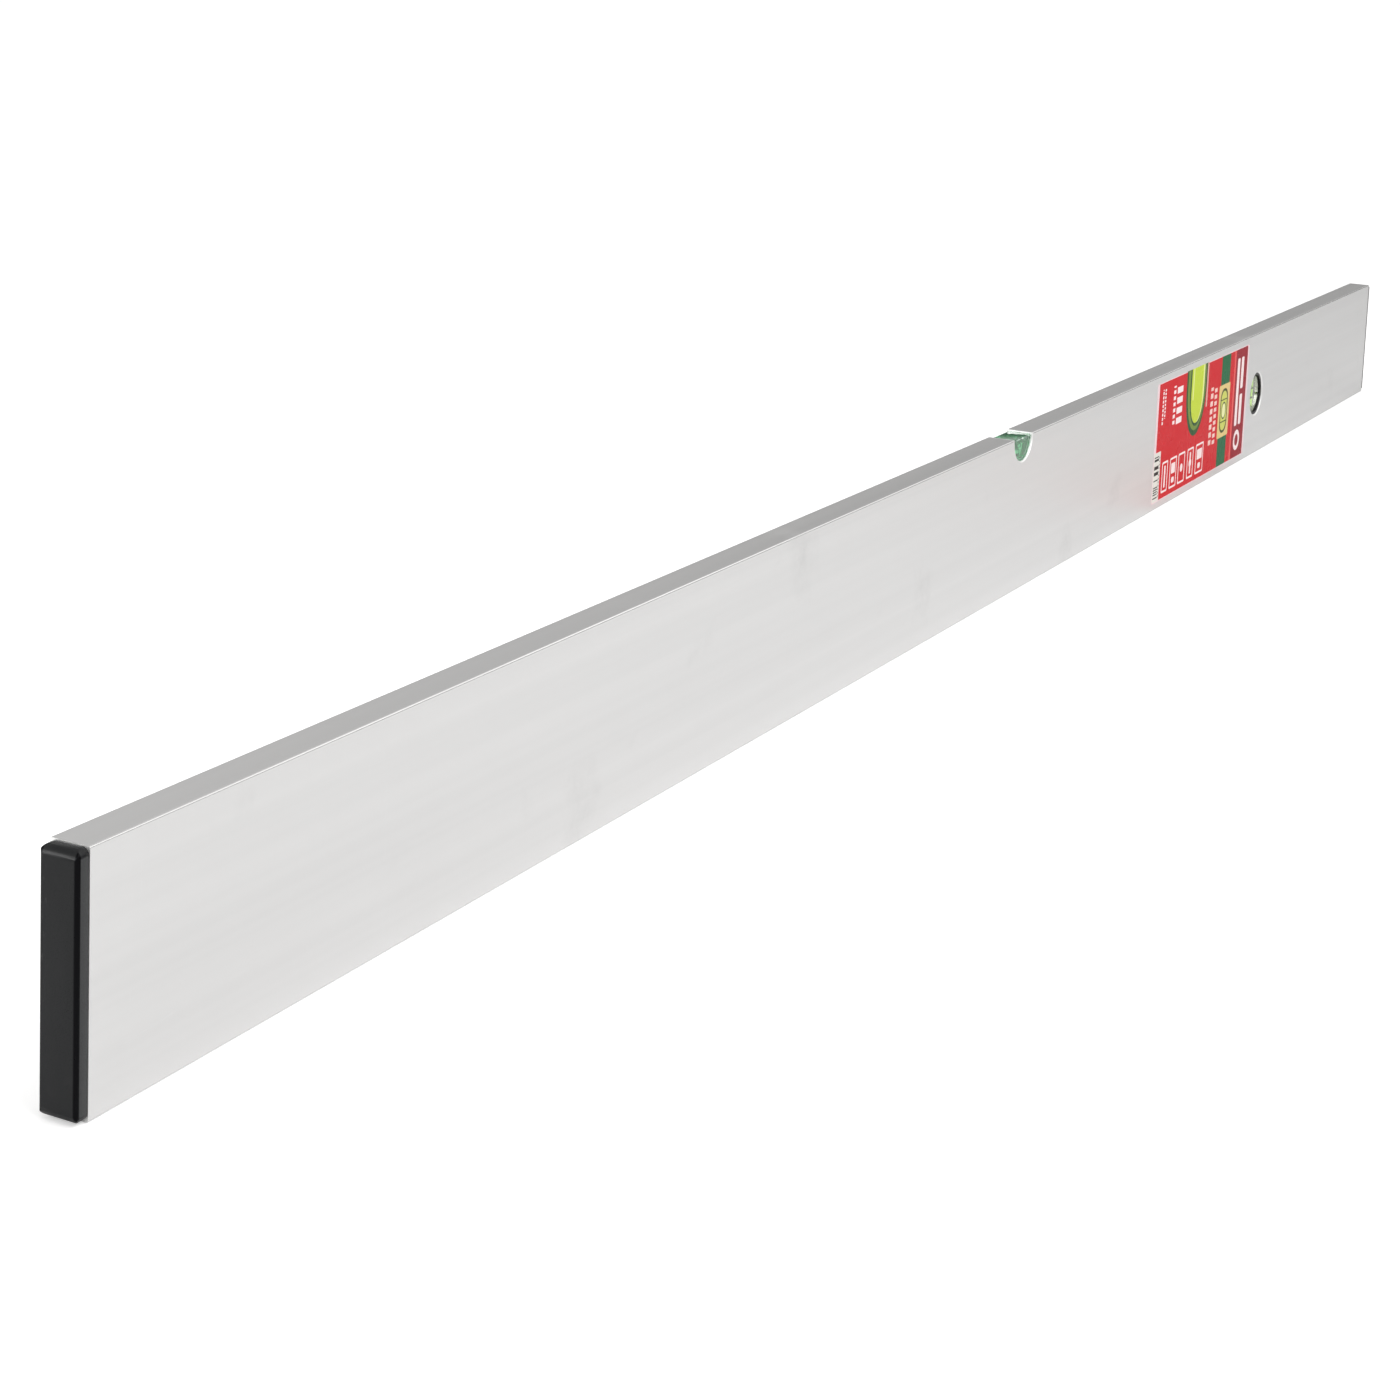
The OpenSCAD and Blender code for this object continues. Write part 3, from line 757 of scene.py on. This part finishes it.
def printed_shape_group():
    """One printed shape with rounded corners, in millimetres, as a mask."""
    group, entry, leave = mask_group(
        "printed_shape", Vector="Vector", Middle="Vector", Reach="Vector", Squash="Vector", Corner="Float"
    )

    def step(operation, first, second=None):
        """One Vector Math node between two sockets."""
        node = group.nodes.new("ShaderNodeVectorMath")
        node.operation = operation
        group.links.new(first, node.inputs[0])
        if second is not None:
            group.links.new(second, node.inputs[1])
        return node

    away = step("SUBTRACT", entry.outputs["Vector"], entry.outputs["Middle"])
    away = step("ABSOLUTE", away.outputs[0])
    past = step("SUBTRACT", away.outputs[0], entry.outputs["Reach"])
    past = step("MAXIMUM", past.outputs[0])
    squashed = step("MULTIPLY", past.outputs[0], entry.outputs["Squash"])
    distance = step("LENGTH", squashed.outputs[0]).outputs["Value"]
    edge = maths(group, "SUBTRACT", entry.outputs["Corner"], distance)
    group.links.new(times(group, edge, PRINT_SHARPNESS, True), leave.inputs["Mask"])
    return group


def printed_row_group():
    """Evenly spaced strokes along the height, in millimetres, as a mask."""
    group, entry, leave = mask_group(
        "printed_row", Vector="Vector", Pitch="Float", Start="Float", Fill="Float"
    )
    pitch = entry.outputs["Pitch"]
    height = place_node(group, "ShaderNodeSeparateXYZ", Vector=entry.outputs["Vector"]).outputs["Z"]
    steps = maths(group, "DIVIDE", maths(group, "SUBTRACT", height, entry.outputs["Start"]), pitch)
    part = times(group, maths(group, "FRACT", steps), pitch)
    left_over = maths(group, "SUBTRACT", times(group, entry.outputs["Fill"], pitch), part)
    group.links.new(times(group, left_over, PRINT_SHARPNESS, True), leave.inputs["Mask"])
    return group


PRINTED_SHAPE = printed_shape_group()
PRINTED_ROW = printed_row_group()


def ink(red, green, blue):
    """A printed colour from its 0 to 255 values."""
    return tuple(((c / 255.0 + 0.055) / 1.055) ** 2.4 for c in (red, green, blue))


RED, DEEP_RED, FILM_PINK, PAPER = ink(205, 0, 22), ink(150, 0, 30), ink(240, 214, 218), ink(226, 224, 216)
DARK_GREEN, STRIPE_GREEN, GREY_GREEN = ink(28, 78, 30), ink(0, 100, 56), ink(112, 140, 50)
LIME, YELLOW, PALE_YELLOW, OLIVE = ink(196, 216, 58), ink(228, 238, 150), ink(226, 200, 132), ink(60, 72, 10)
BLUSH, CORAL, WHITE, BLACK = ink(220, 172, 158), ink(232, 92, 90), ink(250, 232, 232), ink(34, 32, 32)
PALE_PINK = ink(246, 206, 198)


def printed_film():
    """Printed film under a satin laminate: inks, fine print dots, ripple and gloss marks."""
    material, tree, shader = new_material("printed_label_film")
    place = stretched(tree, (1000.0, 1000.0, 1000.0))
    height = place_node(tree, "ShaderNodeSeparateXYZ", Vector=place).outputs["Z"]
    colour = FILM_PINK

    def shape(left, right, low, high, corner=0.12, tall=1.0):
        """A mask of one shape between its four sides, its corners rounded or drawn tall."""
        corner = max(0.12, min(corner, (right - left) / 2.0, (high - low) / 2.0))
        node = place_node(
            tree, "ShaderNodeGroup", node_tree=PRINTED_SHAPE, Vector=place, Corner=corner,
            Middle=((left + right) / 2.0, 0.0, (low + high) / 2.0),
            Reach=((right - left) / 2.0 - corner, 1000.0, (high - low) / 2.0 - corner * tall),
            Squash=(1.0, 1.0, 1.0 / tall),
        )
        return node.outputs["Mask"]

    def row(start, pitch, fill):
        """A mask of strokes that begin at a height and fill a part of each step."""
        node = place_node(
            tree, "ShaderNodeGroup", node_tree=PRINTED_ROW, Vector=place,
            Start=start, Pitch=pitch, Fill=fill,
        )
        return node.outputs["Mask"]

    def lay(mask, tone):
        """Lays one ink over what is printed so far."""
        nonlocal colour
        colour = blend_colour(tree, mask, colour, tone)

    # the red field with its lower left step, and the barred patch beside it
    lay(shape(277.0, 502.1, 43.0, 94.0), RED)
    lay(shape(288.8, 502.1, 6.2, 94.0), RED)
    lay(shape(273.6, 288.3, 6.2, 43.0), PAPER)
    bar = maths(tree, "FLOOR", times(tree, height, 1.15))
    bars = place_node(tree, "ShaderNodeTexWhiteNoise", noise_dimensions="1D", W=bar)
    thick = spread(tree, bars.outputs[0], 0.50, 0.52, 0.0, 1.0)
    lay(times(tree, shape(275.2, 285.2, 8.6, 40.6), thick), BLACK)
    lay(times(tree, shape(286.2, 287.4, 9.0, 40.0), row(9.0, 2.6, 0.55)), BLACK)

    # the drawing of a vial, open at the label's upper edge
    for left, right, low, corner, tall, tone in (
        (342.8, 393.9, 41.9, 25.5, 1.5, DARK_GREEN), (346.7, 391.5, 46.0, 22.4, 1.5, GREY_GREEN),
        (352.2, 389.0, 49.0, 18.4, 1.5, DARK_GREEN), (355.3, 387.6, 51.5, 16.1, 1.5, YELLOW),
        (355.3, 384.0, 51.5, 14.3, 1.5, LIME), (394.3, 397.7, 60.0, 0.1, 1.0, BLUSH),
        (359.0, 361.5, 70.0, 1.2, 1.0, YELLOW),
    ):
        lay(shape(left, right, low, 140.0, corner, tall), tone)

    # rows of plain strokes instead of words
    for left, right, low, high, corner, start, pitch, fill, tone in (
        (320.6, 334.1, 57.8, 87.8, 0.8, 57.8, 7.7, 0.62, WHITE),
        (312.0, 317.2, 58.8, 87.8, 0.4, 58.8, 4.6, 0.60, WHITE),
        (286.0, 288.8, 62.5, 88.8, 0.3, 62.5, 3.2, 0.70, WHITE),
        (290.9, 293.7, 66.5, 88.8, 0.3, 62.5, 2.7, 0.66, WHITE),
        (407.0, 413.6, 27.5, 72.8, 0.4, 27.5, 6.1, 0.66, PALE_PINK),
        (417.2, 423.8, 26.9, 72.8, 0.4, 26.9, 5.1, 0.62, PALE_PINK),
    ):
        lay(times(tree, shape(left, right, low, high, corner), row(start, pitch, fill)), tone)

    # the stripe, the small vial sign on its pale panel, and the thin line
    lay(shape(432.4, 455.5, 6.2, 94.0), STRIPE_GREEN)
    lay(shape(429.5, 458.0, 28.8, 70.9, 1.6), PALE_YELLOW)
    lay(shape(434.2, 453.3, 32.2, 67.5, 8.4), OLIVE)
    lay(shape(436.2, 451.3, 34.2, 65.5, 7.0), ink(206, 212, 104))
    lay(shape(438.2, 449.3, 43.0, 56.7, 5.5), OLIVE)
    lay(shape(439.4, 448.1, 44.2, 55.5, 4.4), ink(238, 240, 178))
    lay(shape(436.2, 451.3, 40.6, 41.6), OLIVE)
    lay(shape(436.2, 451.3, 58.1, 59.1), OLIVE)
    lay(shape(466.5, 470.0, 6.2, 94.0), CORAL)

    # the deep red strip with plain parallel bars and a ring
    lay(shape(471.0, 502.1, 6.2, 94.0), DEEP_RED)
    lay(shape(475.8, 482.4, 32.0, 86.5, 1.6), WHITE)
    lay(shape(486.4, 493.1, 32.0, 56.5, 1.6), WHITE)
    lay(shape(486.4, 493.1, 61.0, 86.5, 1.6), WHITE)
    lay(shape(476.2, 492.8, 11.6, 28.2, 8.3), WHITE)
    lay(shape(479.8, 489.2, 15.2, 24.6, 4.7), DEEP_RED)

    # five framed signs, made up of a bar, two blocks and a dot
    for number, (left, right) in enumerate(
        ((294.2, 308.1), (312.9, 329.3), (333.2, 349.5), (355.3, 370.7), (376.5, 395.8))
    ):
        middle = (left + right) / 2.0
        lay(shape(left, right, 10.0, 33.4, 1.6), WHITE)
        lay(shape(left + 1.5, right - 1.5, 11.5, 31.9, 0.8), RED)
        if number in (0, 3):
            lay(shape(middle - 1.6, middle + 1.6, 13.5, 30.0, 0.8), WHITE)
        if number in (1, 4):
            lay(shape(left + 3.4, right - 3.4, 21.0, 29.0, 0.8), WHITE)
            lay(shape(middle - 3.4, middle + 3.4, 13.8, 18.2, 1.8), WHITE)
        if number in (2, 3):
            lay(shape(middle - 3.2, middle + 3.2, 18.5, 24.9, 3.2), WHITE)

    dots = place_node(
        tree, "ShaderNodeTexNoise", Vector=stretched(tree, WHOLE, turn=(0.0, 0.7, 0.0)),
        Scale=4200.0, Detail=1.0,
    )
    plain = stretched(tree, WHOLE)
    ripple = place_node(tree, "ShaderNodeTexNoise", Vector=plain, Scale=38.0, Detail=2.0)
    grime = marks(tree, plain, 30.0, 0.08)
    wear = scratches(tree, stretched(tree, (12.0, 900.0, 900.0), turn=(0.0, 0.12, 0.0)), 0.5)
    lay(spread(tree, dots.outputs[0], 0.58, 0.70, 0.0, 0.05), WHITE)
    lay(times(tree, grime, 0.10), ink(150, 140, 136))
    lay(times(tree, wear, 0.22), WHITE)
    tree.links.new(colour, shader.inputs["Base Color"])
    rough = spread(tree, ripple.outputs[0], 0.3, 0.7, 0.24, 0.32)
    rough = maths(tree, "ADD", rough, times(tree, grime, 0.12))
    tree.links.new(rough, shader.inputs["Roughness"])
    shader.inputs["Specular IOR Level"].default_value = 0.03
    relief = maths(tree, "ADD", ripple.outputs[0], times(tree, dots.outputs[0], 0.05))
    bump = place_node(tree, "ShaderNodeBump", Height=relief, Strength=0.15, Distance=0.0002)
    tree.links.new(bump.outputs[0], shader.inputs["Normal"])
    return material


film = box_piece(
    "label_film", (FILM_LOW[0], FILM_FRONT, FILM_LOW[1]), (FILM_HIGH[0], FILM_BACK, FILM_HIGH[1])
)
bpy.ops.object.mode_set(mode="EDIT")
bpy.ops.mesh.select_mode(type="EDGE")
bpy.ops.mesh.select_all(action="DESELECT")
shape = bmesh.from_edit_mesh(film.data)
for edge in shape.edges:
    edge.select_set(abs((edge.verts[0].co - edge.verts[1].co).normalized().y) > 0.9)
bmesh.update_edit_mesh(film.data)
bpy.ops.mesh.bevel(offset=FILM_CORNER * MM, segments=8, affect="EDGES")
bpy.ops.mesh.select_mode(type="FACE")
bpy.ops.mesh.select_all(action="DESELECT")
shape = bmesh.from_edit_mesh(film.data)
for face in shape.faces:
    face.select_set(face.normal.y < -0.9)
bmesh.update_edit_mesh(film.data)
bpy.ops.mesh.inset(thickness=FILM_MARGIN * MM, depth=0.0)
bpy.ops.mesh.select_mode(type="VERT")
bpy.ops.object.mode_set(mode="OBJECT")
# the outermost line of points on the front is set back a little, as a cut edge
for point in film.data.vertices:
    x, y, z = (c / MM for c in point.co)
    on_rim = min(
        abs(x - FILM_LOW[0]), abs(x - FILM_HIGH[0]), abs(z - FILM_LOW[1]), abs(z - FILM_HIGH[1])
    ) < RIM_REACH
    if on_rim and y < FILM_FRONT + 0.01:
        point.co.y += RIM_SET_BACK * MM
keep_as(film, "level", "label", printed_film(), "face_label")
